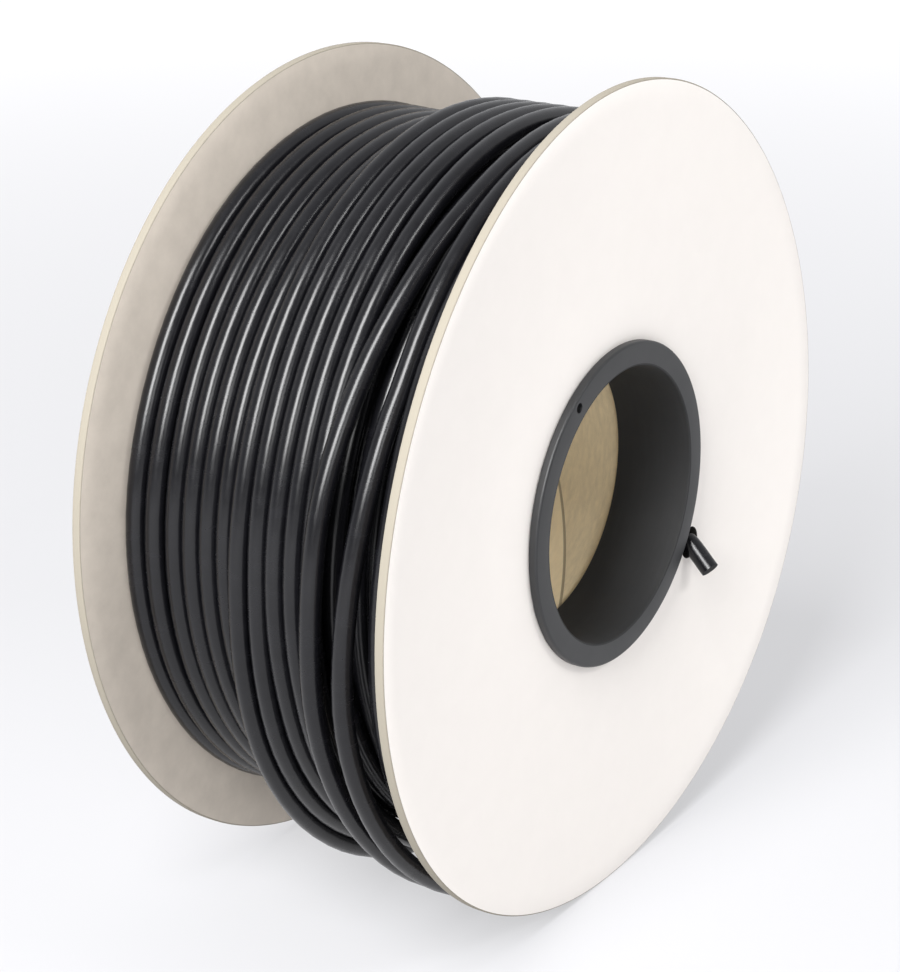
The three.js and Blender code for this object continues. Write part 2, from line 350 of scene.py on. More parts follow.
def moulded_black_plastic(colours):
    """Injection moulded black polystyrene: a grey satin bloom over black, softened by a fine spark-eroded
    grain. The inside of the sleeve is duller, with faint tool marks that run round it, and its colour is
    painted blacker, a painted shade inside the bore."""
    material, tree = new_material("moulded_black_polystyrene")
    place = object_place(tree)
    radius, turn, along = radius_angle_along(tree, place)
    black = tuple(colours.moulding)
    # Tool marks are about 0.2 mm apart, too fine to show, so they are drawn 2.2 mm apart
    around = add_node(tree, "ShaderNodeMath", {0: turn, 1: 20 * MM}, operation="MULTIPLY").outputs["Value"]
    marks_place = add_node(tree, "ShaderNodeCombineXYZ", {"X": around, "Y": along})
    marks = add_node(tree, "ShaderNodeTexNoise", {
        "Vector": marks_place.outputs["Vector"], "Scale": scale_for(2.2), "Detail": 3.0,
        "Roughness": 0.6}).outputs["Fac"]
    marked = add_node(tree, "ShaderNodeMapRange", {
        "Value": marks, "From Min": 0.45, "From Max": 1.45, "To Max": 0.9}).outputs["Result"]
    # Inside the bore the black is painted to about half its brightness, a painted shade, and the real tool
    # marks streak it lighter
    sleeve = add_node(tree, "ShaderNodeMix", {
        MIX_FACTOR: marked, MIX_A: shade(black, 0.5), MIX_B: shade(black, 1.6)},
        data_type="RGBA").outputs[MIX_RESULT]
    cloud = add_node(tree, "ShaderNodeTexNoise", {
        "Vector": place, "Scale": scale_for(14.0), "Detail": 3.0, "Roughness": 0.55}).outputs["Fac"]
    bloom = add_node(tree, "ShaderNodeMapRange", {
        "Value": cloud, "From Min": 0.3, "From Max": 0.7}).outputs["Result"]
    colour = add_node(tree, "ShaderNodeMix", {
        MIX_FACTOR: bloom, MIX_A: shade(black, 0.88), MIX_B: shade(black, 1.15)},
        data_type="RGBA").outputs[MIX_RESULT]
    in_bore = add_node(tree, "ShaderNodeMath", {
        0: radius, 1: SLEEVE_LOOK_RADIUS * MM}, operation="LESS_THAN").outputs["Value"]
    colour = add_node(tree, "ShaderNodeMix", {
        MIX_FACTOR: in_bore, MIX_A: colour, MIX_B: sleeve}, data_type="RGBA").outputs[MIX_RESULT]
    rough = add_node(tree, "ShaderNodeMath", {
        0: cloud, 1: 0.16, 2: 0.38}, operation="MULTIPLY_ADD").outputs["Value"]
    rough = add_node(tree, "ShaderNodeMath", {
        0: in_bore, 1: 0.3, 2: rough}, operation="MULTIPLY_ADD").outputs["Value"]
    # Spark-eroded grain is about 0.05 mm, too fine to show, so it is drawn at 0.7 mm
    grain = add_node(tree, "ShaderNodeTexNoise", {
        "Vector": place, "Scale": scale_for(0.7), "Detail": 3.0, "Roughness": 0.6}).outputs["Fac"]
    relief = add_node(tree, "ShaderNodeBump", {"Height": grain, "Distance": 0.03 * MM, "Strength": 0.5})
    shader = add_node(tree, "ShaderNodeBsdfPrincipled", {
        "Base Color": colour, "Roughness": rough, "IOR": 1.59, "Normal": relief.outputs["Normal"]})
    add_node(tree, "ShaderNodeOutputMaterial", {"Surface": shader.outputs["BSDF"]})
    return material


def extruded_jacket(colours):
    """Extruded black PVC jacket: smooth and satin, with long narrow highlights along each turn, fine die
    lines along the cable, faint shallow ripples across it and a thin haze of drawing dust. Its cut ends
    are dull black."""
    material, tree = new_material("extruded_black_pvc_jacket")
    black = tuple(colours.jacket)
    route = add_node(tree, "ShaderNodeAttribute", attribute_name="cable_place", attribute_type="GEOMETRY")
    split = add_node(tree, "ShaderNodeSeparateXYZ", {"Vector": route.outputs["Vector"]})
    around, length = split.outputs["X"], split.outputs["Y"]
    girth = add_node(tree, "ShaderNodeMath", {
        0: around, 1: CABLE_GIRTH * MM}, operation="MULTIPLY").outputs["Value"]
    drawn_out = add_node(tree, "ShaderNodeMath", {
        0: length, 1: 0.02}, operation="MULTIPLY").outputs["Value"]
    # Die lines are about 0.1 mm apart, too fine to show, so they are drawn 0.55 mm apart
    die = add_node(tree, "ShaderNodeCombineXYZ", {"X": girth, "Y": drawn_out})
    lines = add_node(tree, "ShaderNodeTexNoise", {
        "Vector": die.outputs["Vector"], "Scale": scale_for(0.55), "Detail": 2.0,
        "Roughness": 0.5}).outputs["Fac"]
    # Ripples from the extruder are 20 to 30 mm long, and the dust lies in patches of about 7 mm
    part_round = add_node(tree, "ShaderNodeMath", {
        0: around, 1: 0.01}, operation="MULTIPLY").outputs["Value"]
    along = add_node(tree, "ShaderNodeCombineXYZ", {"X": part_round, "Y": length}).outputs["Vector"]
    ripple = add_node(tree, "ShaderNodeTexNoise", {
        "Vector": along, "Scale": scale_for(26.0), "Detail": 2.0, "Roughness": 0.5}).outputs["Fac"]
    haze = add_node(tree, "ShaderNodeTexNoise", {
        "Vector": along, "Scale": scale_for(7.0), "Detail": 4.0, "Roughness": 0.65}).outputs["Fac"]
    dusty = add_node(tree, "ShaderNodeMapRange", {
        "Value": haze, "From Min": 0.35, "From Max": 0.75}).outputs["Result"]
    tone = add_node(tree, "ShaderNodeMix", {
        MIX_FACTOR: dusty, MIX_A: shade(black, 0.85), MIX_B: shade(black, 1.3)},
        data_type="RGBA").outputs[MIX_RESULT]
    cut_end = add_node(
        tree, "ShaderNodeAttribute", attribute_name=CUT_END, attribute_type="GEOMETRY").outputs["Fac"]
    tone = add_node(tree, "ShaderNodeMix", {
        MIX_FACTOR: cut_end, MIX_A: tone, MIX_B: shade(black, 0.4)}, data_type="RGBA").outputs[MIX_RESULT]
    rough = add_node(tree, "ShaderNodeMath", {
        0: haze, 1: 0.14, 2: 0.19}, operation="MULTIPLY_ADD").outputs["Value"]
    rough = add_node(tree, "ShaderNodeMath", {
        0: cut_end, 1: 0.6, 2: rough}, operation="MULTIPLY_ADD", use_clamp=True).outputs["Value"]
    waves = add_node(tree, "ShaderNodeMath", {0: ripple, 1: 4.0}, operation="MULTIPLY").outputs["Value"]
    height = add_node(tree, "ShaderNodeMath", {
        0: lines, 1: 0.25, 2: waves}, operation="MULTIPLY_ADD").outputs["Value"]
    relief = add_node(tree, "ShaderNodeBump", {"Height": height, "Distance": 0.05 * MM, "Strength": 0.5})
    shader = add_node(tree, "ShaderNodeBsdfPrincipled", {
        "Base Color": tone, "Roughness": rough, "IOR": 1.44, "Normal": relief.outputs["Normal"]})
    add_node(tree, "ShaderNodeOutputMaterial", {"Surface": shader.outputs["BSDF"]})
    return material


# Meshes


def finished(name, mesh, material, slot, *nodes):
    """Links a mesh as a piece that rides on the reel and stands for CAD nodes."""
    mesh.name = name
    mesh.materials.clear()
    mesh.materials.append(material)
    piece = bpy.data.objects.new(name, mesh)
    bpy.context.scene.collection.objects.link(piece)
    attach(piece, BODY)
    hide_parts(*nodes)
    return piece


def arc(centre, radius, start, end, steps):
    """Points of an arc in a profile, from start to end degrees."""
    points = []
    for step in range(steps + 1):
        angle = math.radians(start + (end - start) * step / steps)
        points.append((centre[0] + radius * math.cos(angle), centre[1] + radius * math.sin(angle)))
    return points


def turned_mesh(name, profile, segments, wave=None, marks=None):
    """A closed profile of (radius, place along the axis) in millimetres turned about the reel's axis.
    wave(radius, angle) moves a point along the axis, and marks note each profile edge for the material."""
    shape = bmesh.new()
    noted = shape.faces.layers.float.new(BOARD_SIDE) if marks else None
    rings = []
    for step in range(segments):
        angle = 2 * math.pi * (step + 0.5) / segments
        ring = []
        for radius, along in profile:
            shift = wave(radius, angle) if wave else 0.0
            point = AXIS + Vector((radius * math.cos(angle), along + shift, radius * math.sin(angle)))
            ring.append(shape.verts.new(point * MM))
        rings.append(ring)
    count = len(profile)
    for step in range(segments):
        here, there = rings[step], rings[(step + 1) % segments]
        for index in range(count):
            following = (index + 1) % count
            face = shape.faces.new((here[index], here[following], there[following], there[index]))
            if marks:
                face[noted] = marks[index]
    bmesh.ops.recalc_face_normals(shape, faces=shape.faces)
    mesh = bpy.data.meshes.new(name)
    shape.to_mesh(mesh)
    shape.free()
    smooth(mesh)
    return mesh


def smooth(mesh, angle=35):
    """Smooth shading, with edges sharper than an angle in degrees left sharp."""
    mesh.shade_smooth()
    mesh.set_sharp_from_angle(angle=math.radians(angle))


def cut(mesh, cutter):
    """The mesh with the cutter's shape taken out of it."""
    body = bpy.data.objects.new("cut_body", mesh)
    tool = bpy.data.objects.new("cut_tool", cutter)
    for item in (body, tool):
        bpy.context.scene.collection.objects.link(item)
    modifier = body.modifiers.new("cut", "BOOLEAN")
    modifier.operation = "DIFFERENCE"
    modifier.solver = "EXACT"
    modifier.object = tool
    evaluated = body.evaluated_get(bpy.context.evaluated_depsgraph_get())
    result = bpy.data.meshes.new_from_object(evaluated)
    bpy.data.objects.remove(body)
    bpy.data.objects.remove(tool)
    if not result.polygons:
        raise RuntimeError("the cut left nothing")
    smooth(result)
    return result


def rod(name, middle, radius, length, sides=48, mark=None):
    """A cylinder along the axis direction, for cutting holes. A mark notes its wall for the material."""
    shape = bmesh.new()
    noted = shape.faces.layers.float.new(BOARD_SIDE) if mark else None
    turn = Matrix.Rotation(math.radians(90), 4, "X")
    place = Matrix.Translation(middle * MM) @ turn
    bmesh.ops.create_cone(
        shape, cap_ends=True, segments=sides, radius1=radius * MM, radius2=radius * MM, depth=length * MM,
        matrix=place)
    if mark:
        for face in shape.faces:
            face[noted] = mark
    mesh = bpy.data.meshes.new(name)
    shape.to_mesh(mesh)
    shape.free()
    return mesh


def at_angle(radius, degrees, along):
    """A point at a radius, an angle and a place along the axis, in millimetres."""
    angle = math.radians(degrees)
    return AXIS + Vector((radius * math.cos(angle), along, radius * math.sin(angle)))


# Flanges

FLANGE_SEGMENTS = 256
EDGE_ROUND = 0.5
TAIL_HOLE_RADIUS = 6.0
TAIL_HOLE_OFFSET = 66.0
TAIL_HOLE_ANGLE = -31.0
FRONT_WARP_ANGLE = 1.114
REAR_WARP_ANGLE = 0.282


def flange_profile(side, sizes, dish):
    """Rounded section of a flange on one side of the reel, bending outwards from its flat middle."""
    bore = sizes.bore_radius + sizes.collar_wall + SEAT_CLEARANCE
    bend = FLANGE_RADIUS - sizes.flange_flat_radius
    steps = 10

    def outwards(radius):
        share = max(0.0, (radius - sizes.flange_flat_radius) / bend)
        return dish * share ** 1.3

    radii = [bore + (sizes.flange_flat_radius - bore) * k / 3 for k in range(3)]
    radii += [sizes.flange_flat_radius + (bend - EDGE_ROUND) * k / steps for k in range(steps + 1)]
    thickness = sizes.flange_thickness
    inner = [(radius, INNER_FACE + outwards(radius)) for radius in radii]
    rim_low = inner[-1][1] + EDGE_ROUND
    rim_high = inner[-1][1] + thickness - EDGE_ROUND
    rim = arc((FLANGE_RADIUS - EDGE_ROUND, rim_low), EDGE_ROUND, -90, 0, 4)[1:]
    rim += arc((FLANGE_RADIUS - EDGE_ROUND, rim_high), EDGE_ROUND, 0, 90, 4)[:-1]
    outer = [(radius, along + thickness) for radius, along in reversed(inner)]
    profile = [(radius, side * along) for radius, along in inner + rim + outer]
    marks = [0.0] * (len(inner) - 1) + [0.5] * (len(rim) + 1) + [1.0] * (len(outer) - 1) + [0.5]
    return profile, marks


def rim_wave(height, phase, flat_radius):
    """A shallow saddle that grows from the flat middle to the rim."""
    def wave(radius, angle):
        share = max(0.0, (radius - flat_radius) / (FLANGE_RADIUS - flat_radius))
        return height * share ** 2 * math.cos(2 * (angle - phase))
    return wave


class CABLECOIL_OT_flanges(bpy.types.Operator):
    """Build the two fibreboard flanges"""
    bl_idname = "cable_coil.flanges"
    bl_label = "Flanges"

    def execute(self, context):
        sizes = in_millimetres(context.scene.reel_sizes)
        board = white_faced_fibreboard(context.scene.reel_colours)
        profile, marks = flange_profile(-1, sizes, sizes.front_dish)
        front = turned_mesh(
            "front_flange_disc", profile, FLANGE_SEGMENTS,
            rim_wave(sizes.front_warp, FRONT_WARP_ANGLE, sizes.flange_flat_radius), marks)
        middle = at_angle(TAIL_HOLE_OFFSET, TAIL_HOLE_ANGLE, -INNER_FACE - sizes.flange_thickness / 2)
        # The hole's wall is marked to be painted nearly black, a painted shade inside the hole
        front = cut(front, rod("tail_hole", middle, TAIL_HOLE_RADIUS, 4 * sizes.flange_thickness, mark=2.0))
        finished("front_flange_board", front, board, "fibreboard", "front_flange")
        profile, marks = flange_profile(1, sizes, sizes.rear_dish)
        rear = turned_mesh(
            "rear_flange_disc", profile, FLANGE_SEGMENTS,
            rim_wave(sizes.rear_warp, REAR_WARP_ANGLE, sizes.flange_flat_radius), marks)
        finished("rear_flange_board", rear, board, "fibreboard", "rear_flange")
        return {"FINISHED"}


# Core tube

TUBE_SEGMENTS = 192


class CABLECOIL_OT_core_tube(bpy.types.Operator):
    """Build the paper core tube"""
    bl_idname = "cable_coil.core_tube"
    bl_label = "Core tube"

    def execute(self, context):
        sizes = in_millimetres(context.scene.reel_sizes)
        end = INNER_FACE - SEAT_CLEARANCE
        inner = CORE_RADIUS - sizes.core_wall
        steps = 12
        profile = [(inner, -end), (CORE_RADIUS, -end), (CORE_RADIUS, end), (inner, end)]
        profile += [(inner, end - 2 * end * k / steps) for k in range(1, steps)]
        tube = turned_mesh("core_tube_board", profile, TUBE_SEGMENTS)
        kraft = spiral_kraft_board(context.scene.reel_colours)
        finished("core_tube_board", tube, kraft, "kraft_tube", "core_tube")
        return {"FINISHED"}


# Hub collars

COLLAR_EDGE_ROUND = 0.9
BORE_EDGE_ROUND = 0.6
NAIL_HOLE_RADIUS = 1.75
NAIL_HOLE_ANGLE = 125.0


def collar_profile(side, sizes):
    """Rounded section of a collar: ring, sleeve and a slight lead-in at the sleeve's end."""
    bore = sizes.bore_radius
    sleeve = bore + sizes.collar_wall
    ring_back = COLLAR_FACE - sizes.ring_thickness
    points = [(bore, SLEEVE_END + 0.5), (bore + 0.5, SLEEVE_END), (sleeve - 0.5, SLEEVE_END)]
    points += [(sleeve, SLEEVE_END + 0.5), (sleeve, ring_back), (RING_RADIUS - 0.3, ring_back)]
    points += [(RING_RADIUS, ring_back + 0.3)]
    outer_middle = (RING_RADIUS - COLLAR_EDGE_ROUND, COLLAR_FACE - COLLAR_EDGE_ROUND)
    points += arc(outer_middle, COLLAR_EDGE_ROUND, 0, 90, 6)
    points += arc((bore + BORE_EDGE_ROUND, COLLAR_FACE - BORE_EDGE_ROUND), BORE_EDGE_ROUND, 90, 180, 5)
    points += [(bore, SLEEVE_END + (COLLAR_FACE - SLEEVE_END) * k / 4) for k in (3, 2, 1)]
    return [(radius, side * along) for radius, along in points]


class CABLECOIL_OT_collars(bpy.types.Operator):
    """Build the moulded hub collars"""
    bl_idname = "cable_coil.collars"
    bl_label = "Hub collars"

    def execute(self, context):
        sizes = in_millimetres(context.scene.reel_sizes)
        plastic = moulded_black_plastic(context.scene.reel_colours)
        offset = (sizes.bore_radius + sizes.collar_wall + RING_RADIUS) / 2
        for side, word in ((-1, "front"), (1, "rear")):
            moulding = turned_mesh(f"{word}_collar_moulding", collar_profile(side, sizes), TUBE_SEGMENTS)
            middle = at_angle(offset, NAIL_HOLE_ANGLE, side * COLLAR_FACE)
            hole = rod("nail_hole", middle, NAIL_HOLE_RADIUS, 4 * sizes.ring_thickness, 24)
            moulding = cut(moulding, hole)
            finished(f"{word}_collar_moulding", moulding, plastic, "moulded_plastic", f"{word}_collar")
        return {"FINISHED"}


# Cable

WINDING_CLEARANCE = 0.4
SECTION_SIDES = 16
POINTS_PER_TURN = 96
BURIED_SEGMENTS = 96
TOP_LAYER_PLACES = (0, 1, 3, 4, 5, 6, 7, 8)
CROSSOVER_SHARE = 0.12
CROSSOVER_END = 20.0
CROWN_SLACK = 1.1
CROWN_START = 30.0
CROWN_END = 160.0
CROWN_FADE = 40.0
CLIMB_DEGREES = 60.0
CLIMB_STEPS = 16
TAIL_OUT = 9.9
TAIL_DROP = 8.0
TAIL_SIDE = 2.0
TAIL_START_DEPTH = 9.0
TAIL_BEND_DEPTH = 1.0
TAIL_STEPS = 12


def layer_radius(layer, sizes):
    """Radius of the middle of the cable in a layer, counted from the core tube."""
    return CORE_RADIUS + WINDING_CLEARANCE + sizes.diameter / 2 + sizes.layer_rise * layer


def layer_shift(layer, sizes):
    """Each layer lies in the grooves of the one below it."""
    quarter = sizes.pitch / 4
    return quarter if layer % 2 == 0 else -quarter


def place_along(layer, place, sizes):
    """Where the middle of a turn lies along the axis, counted from the front flange."""
    half = sizes.turns_per_layer * sizes.pitch / 2
    return -half + layer_shift(layer, sizes) + (place + 0.5) * sizes.pitch


def ease(share):
    """A share of the way, eased at both ends."""
    share = min(1.0, max(0.0, share))
    return share * share * (3 - 2 * share)


# How the loose turns lie: for each layer and place, knots of (angle in degrees, millimetres towards the
# rear flange, millimetres outwards). Layer 0 is the last full one and layer 1 the part layer over it, where
# two turns have slid off their neighbours and hang below the winding.
LOOSE_LAY = {
    (0, 1): ((95, 0, 0), (120, 0, -3.0), (150, 0, -4.0), (200, 0, -4.0), (235, 0, 0)),
    (0, 2): ((95, 0, 0), (120, 0, -3.0), (150, 0, -4.0), (200, 0, -4.0), (235, 0, 0)),
    (0, 12): ((40, 0, 0), (75, 0.5, 0.2), (115, 0.5, 0.2), (150, 0, 0)),
    (0, 13): ((35, 0, 0), (75, 1.2, 0.5), (115, 1.2, 0.5), (150, 0.8, 0.5), (190, 0.9, 0.9),
        (230, 0.7, 0.6), (280, 0, 0)),
    (0, 14): ((30, 0, 0), (75, 2.1, 0.9), (115, 2.0, 0.9), (150, 1.2, 1.0), (180, 1.2, 1.6),
        (230, 1.2, 1.2), (285, 0, 0)),
    (1, 0): ((160, 0, 0), (180, 1.6, 0.8), (195, 3.2, 2.0), (210, 4.4, 3.4), (225, 4.6, 4.8),
        (240, 3.8, 5.4), (255, 2.4, 5.2), (270, 1.0, 4.0), (300, 0, 0)),
    (1, 1): ((145, 0, 0), (152, 0.5, 1.2), (165, 2.0, 3.0), (180, 4.2, 5.6), (195, 6.1, 9.0),
        (210, 6.1, 11.5), (225, 5.1, 13.0), (240, 3.3, 13.0), (255, 1.5, 12.0), (270, 0.3, 9.8),
        (290, 0, 6.6), (312, 0, 3.0), (334, 0, 0)),
    (1, 3): ((30, 0, 0), (70, -3.0, 0), (95, -6.0, 0), (114, -6.6, 0), (128, -4.0, 0),
        (136, -2.2, 0.2), (144, -0.5, 1.2), (152, 0.6, 2.8), (165, 2.2, 5.2), (180, 2.4, 6.9),
        (195, 4.0, 8.4), (210, 4.2, 10.0), (225, 2.6, 11.8), (240, -0.6, 13.2), (255, -2.2, 13.2),
        (270, -1.6, 11.8), (290, -0.5, 8.0), (312, 0, 3.6), (334, 0, 0)),
    (1, 4): ((60, 0, 0), (112, -1.4, 0), (132, -0.8, 0), (150, 0, 0), (180, 0.3, 0), (210, 1.3, 0.8),
        (240, 0.8, 2.0), (270, 0, 1.8), (300, 0, 0)),
    (1, 5): ((165, 0, 0), (195, 0.3, 0), (210, 1.4, 0.6), (240, 1.0, 1.8), (270, 0.3, 1.8),
        (305, 0, 0)),
    (1, 6): ((165, 0, 0), (195, 0.4, 0.2), (210, 1.6, 1.0), (240, 1.3, 2.6), (270, 0.3, 3.0),
        (310, 0, 0)),
    (1, 7): ((165, 0, 0), (180, -0.2, 0.2), (195, 0.5, 1.5), (210, 1.8, 3.4), (225, 2.3, 4.8),
        (240, 2.1, 5.0), (255, 1.5, 4.6), (270, 0.6, 4.0), (290, 0, 2.6), (320, 0, 0)),
    (1, 8): ((150, 0, 0), (180, 0.3, 0.6), (195, 1.3, 2.2), (210, 2.2, 5.2), (225, 1.6, 8.6),
        (240, 0.2, 11.0), (255, -1.2, 12.0), (270, -1.8, 11.4), (290, -1.6, 8.6), (312, -0.6, 4.2),
        (334, 0, 0.6), (345, 0, 0)),
}


def loose_offset(turn, degrees):
    """How far a turn lies from its place at an angle: towards the rear flange, and outwards."""
    knots = LOOSE_LAY.get(turn)
    if not knots or degrees <= knots[0][0] or degrees >= knots[-1][0]:
        return 0.0, 0.0
    index = max(k for k in range(len(knots) - 1) if knots[k][0] <= degrees)
    start, end = knots[index], knots[index + 1]
    span = end[0] - start[0]
    t = (degrees - start[0]) / span
    result = []
    for axis in (1, 2):
        slopes = []
        for k in (index, index + 1):
            if 0 < k < len(knots) - 1:
                before, after = knots[k - 1], knots[k + 1]
                slopes.append((after[axis] - before[axis]) / (after[0] - before[0]))
            else:
                slopes.append(0.0)
        result.append(
            start[axis] * (2 * t ** 3 - 3 * t ** 2 + 1) + slopes[0] * span * (t ** 3 - 2 * t ** 2 + t)
            + end[axis] * (3 * t ** 2 - 2 * t ** 3) + slopes[1] * span * (t ** 3 - t ** 2))
    return tuple(result)


def wound_route(sizes):
    """Points of the visible layers: the last full layer, wound towards the front flange, and the part layer
    over it, wound back. The cable climbs out of the layer below beside the rear flange, and steps to its
    next place on the side away from the camera."""
    last = sizes.full_layers - 1
    stations = [(layer_radius(last, sizes), place_along(last, place, sizes), (0, place))
                for place in reversed(range(sizes.turns_per_layer))]
    stations += [(layer_radius(last + 1, sizes), place_along(last + 1, place, sizes), (1, place))
                 for place in TOP_LAYER_PLACES]
    points = []
    first_radius, first_along = stations[0][:2]
    for step in range(CLIMB_STEPS):
        share = step / CLIMB_STEPS
        climb = sizes.layer_rise * (1 - ease(share))
        degrees = CROSSOVER_END - CLIMB_DEGREES * (1 - share)
        points.append(at_angle(first_radius - climb, degrees, first_along))
    for index, (radius, along, turn) in enumerate(stations):
        following = stations[min(index + 1, len(stations) - 1)]
        for step in range(POINTS_PER_TURN):
            share = step / POINTS_PER_TURN
            cross = ease((share - (1 - CROSSOVER_SHARE)) / CROSSOVER_SHARE)
            degrees = CROSSOVER_END + 360 * share
            slid, out = loose_offset(turn, degrees)
            if turn[0] == 1:
                rise = ease((degrees - CROWN_START) / CROWN_FADE)
                out += CROWN_SLACK * rise * ease((CROWN_END - degrees) / CROWN_FADE)
            here_radius = radius + (following[0] - radius) * cross + out
            here_along = along + (following[1] - along) * cross + slid
            points.append(at_angle(here_radius, degrees, here_along))
    return points


def tail_route(flange_thickness):
    """Points of the inner end: out of the winding, through the flange's hole, then outwards and down."""
    hole = at_angle(TAIL_HOLE_OFFSET, TAIL_HOLE_ANGLE, 0)
    outer = INNER_FACE + flange_thickness
    knots = [
        hole + Vector((0, -INNER_FACE + TAIL_START_DEPTH, 0)),
        hole + Vector((0, -INNER_FACE + TAIL_BEND_DEPTH, 0)),
        hole + Vector((0, -outer, 0)),
        hole + Vector((-TAIL_SIDE, -outer - TAIL_OUT, -TAIL_DROP)),
    ]
    return catmull_rom(knots, TAIL_STEPS)


def catmull_rom(knots, steps):
    """A smooth route through knots."""
    ends = [2 * knots[0] - knots[1]] + knots + [2 * knots[-1] - knots[-2]]
    points = []
    for index in range(1, len(ends) - 2):
        before, start, end, after = ends[index - 1:index + 3]
        for step in range(steps):
            t = step / steps
            points.append(0.5 * (2 * start + (end - before) * t
                          + (2 * before - 5 * start + 4 * end - after) * t ** 2
                          + (3 * start - before - 3 * end + after) * t ** 3))
    points.append(knots[-1])
    return points


def sweep_tree():
    """Geometry Nodes that sweep a round section along a route, cap it and note its place for the jacket."""
    tree = bpy.data.node_groups.new("sweep_cable", "GeometryNodeTree")
    sockets = tree.interface
    sockets.new_socket("Geometry", in_out="INPUT", socket_type="NodeSocketGeometry")
    sockets.new_socket("Cable radius", in_out="INPUT", socket_type="NodeSocketFloat")
    sockets.new_socket("Section sides", in_out="INPUT", socket_type="NodeSocketInt")
    sockets.new_socket("Material", in_out="INPUT", socket_type="NodeSocketMaterial")
    sockets.new_socket("Geometry", in_out="OUTPUT", socket_type="NodeSocketGeometry")
    given = add_node(tree, "NodeGroupInput").outputs
    route = add_node(tree, "GeometryNodeMeshToCurve", {"Mesh": given["Geometry"]}).outputs["Curve"]
    along = add_node(tree, "GeometryNodeSplineParameter").outputs["Length"]
    marked_route = add_node(tree, "GeometryNodeStoreNamedAttribute", {
        "Geometry": route, "Name": "route_length", "Value": along}, data_type="FLOAT", domain="POINT")
    section = add_node(tree, "GeometryNodeCurvePrimitiveCircle", {
        "Radius": given["Cable radius"], "Resolution": given["Section sides"]}).outputs["Curve"]
    around = add_node(tree, "GeometryNodeSplineParameter").outputs["Factor"]
    marked_section = add_node(tree, "GeometryNodeStoreNamedAttribute", {
        "Geometry": section, "Name": "section_turn", "Value": around}, data_type="FLOAT", domain="POINT")
    swept = add_node(tree, "GeometryNodeCurveToMesh", {
        "Curve": marked_route.outputs["Geometry"], "Profile Curve": marked_section.outputs["Geometry"],
        "Fill Caps": True}).outputs["Mesh"]
    length = add_node(tree, "GeometryNodeInputNamedAttribute", {"Name": "route_length"}, data_type="FLOAT")
    turn = add_node(tree, "GeometryNodeInputNamedAttribute", {"Name": "section_turn"}, data_type="FLOAT")
    fold = add_node(tree, "ShaderNodeMath", {
        0: turn.outputs["Attribute"], 1: 0.5}, operation="PINGPONG").outputs["Value"]
    place = add_node(tree, "ShaderNodeCombineXYZ", {"X": fold, "Y": length.outputs["Attribute"]})
    noted = add_node(tree, "GeometryNodeStoreNamedAttribute", {
        "Geometry": swept, "Name": "cable_place", "Value": place.outputs["Vector"]},
        data_type="FLOAT_VECTOR", domain="POINT").outputs["Geometry"]
    real = add_node(tree, "GeometryNodeRealizeInstances", {"Geometry": noted}).outputs["Geometry"]
    dressed = add_node(tree, "GeometryNodeSetMaterial", {"Geometry": real, "Material": given["Material"]})
    add_node(tree, "NodeGroupOutput", {"Geometry": dressed.outputs["Geometry"]})
    return tree


def set_input(modifier, name, value):
    """Sets a modifier's input by its socket's identifier."""
    for item in modifier.node_group.interface.items_tree:
        if item.item_type == "SOCKET" and item.in_out == "INPUT" and item.name == name:
            modifier[item.identifier] = value
            return
    raise KeyError(name)


def swept_cable(name, routes, sizes, material):
    """One mesh of cable swept along each route."""
    path = bpy.data.meshes.new(f"{name}_path")
    vertices = []
    edges = []
    for points in routes:
        first = len(vertices)
        vertices += [tuple(point * MM) for point in points]
        edges += [(first + k, first + k + 1) for k in range(len(points) - 1)]
    path.from_pydata(vertices, edges, [])
    holder = bpy.data.objects.new(f"{name}_path", path)
    bpy.context.scene.collection.objects.link(holder)
    modifier = holder.modifiers.new("sweep", "NODES")
    modifier.node_group = sweep_tree()
    set_input(modifier, "Cable radius", sizes.diameter / 2 * MM)
    set_input(modifier, "Section sides", SECTION_SIDES)
    set_input(modifier, "Material", material)
    evaluated = holder.evaluated_get(bpy.context.evaluated_depsgraph_get())
    mesh = bpy.data.meshes.new_from_object(evaluated)
    bpy.data.objects.remove(holder)
    return mesh


def inner_layers_profile(sizes):
    """Section of the buried layers: plain inside, with the end turn of each layer showing at both ends."""
    radius = sizes.diameter / 2
    rear = []
    front = []
    for layer in range(sizes.full_layers - 1):
        centre = layer_radius(layer, sizes)
        rear_middle = place_along(layer, sizes.turns_per_layer - 1, sizes)
        front_middle = place_along(layer, 0, sizes)
        for angle in (-50, -25, 0, 25, 50):
            turn = math.radians(angle)
            rear.append((centre + radius * math.sin(turn), rear_middle + radius * math.cos(turn)))
            front.append((centre + radius * math.sin(turn), front_middle - radius * math.cos(turn)))
    return rear + list(reversed(front))


class CABLECOIL_OT_cable(bpy.types.Operator):
    """Build the cable: its visible turns, its buried layers and its inner end"""
    bl_idname = "cable_coil.cable"
    bl_label = "Cable"

    def execute(self, context):
        sizes = in_millimetres(context.scene.cable_sizes)
        thickness = in_millimetres(context.scene.reel_sizes).flange_thickness
        jacket = extruded_jacket(context.scene.reel_colours)
        swept = swept_cable("coax_cable", [wound_route(sizes), tail_route(thickness)], sizes, jacket)
        buried = turned_mesh("buried_layers", inner_layers_profile(sizes), BURIED_SEGMENTS)
        whole = bmesh.new()
        whole.from_mesh(swept)
        noted = whole.faces.layers.float.new(CUT_END)
        for face in whole.faces:
            face[noted] = 1.0 if len(face.verts) > 4 else 0.0
        whole.from_mesh(buried)
        mesh = bpy.data.meshes.new("coax_cable")
        whole.to_mesh(mesh)
        whole.free()
        smooth(mesh, 60)
        finished("coax_cable", mesh, jacket, "cable_jacket", "cable")
        return {"FINISHED"}


# Stage

